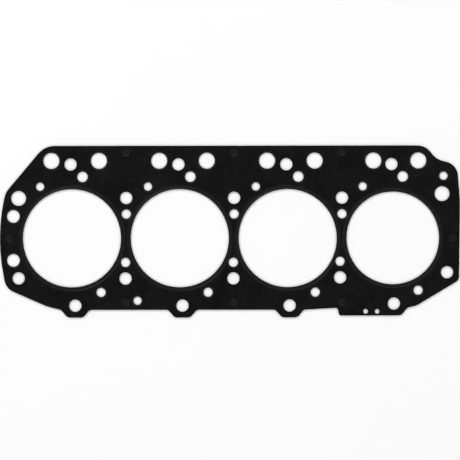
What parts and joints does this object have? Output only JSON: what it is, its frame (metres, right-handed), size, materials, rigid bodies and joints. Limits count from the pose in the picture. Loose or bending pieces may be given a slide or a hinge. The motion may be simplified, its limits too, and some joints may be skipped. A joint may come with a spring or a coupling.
{
  "type": "cylinder head gasket",
  "caption": "Flat multi-layer steel cylinder head gasket, coated black, with a row of round bores, bolt and pushrod holes, coolant passages and lobes along one side.",
  "frame": {"origin": "on the block face, in the middle of the web between the second and third bores", "axes": "+X along the row of bores towards the smaller bore, +Y towards the pushrod side, +Z from the block to the cylinder head"},
  "size_m": [0.46, 0.1719, 0.0016],
  "materials": {
    "coated_steel": "spring steel with a thin satin black elastomer coat",
    "carrier_steel": "flat steel sheet, black coated, with punched edges",
    "stopper_steel": "bare rolled stainless steel",
    "rivet": "steel rivet, coated black with the layers"
  },
  "bodies": {
    "root": {"lower_layer": "coated_steel", "carrier_layer": "carrier_steel", "upper_layer": "coated_steel", "stopper_ring_1": "stopper_steel", "stopper_ring_2": "stopper_steel", "stopper_ring_3": "stopper_steel", "stopper_ring_4": "stopper_steel", "rivet_1": "rivet", "rivet_2": "rivet", "rivet_3": "rivet", "rivet_4": "rivet", "rivet_5": "rivet", "rivet_6": "rivet", "rivet_7": "rivet", "rivet_8": "rivet"}
  },
  "joints": []
}
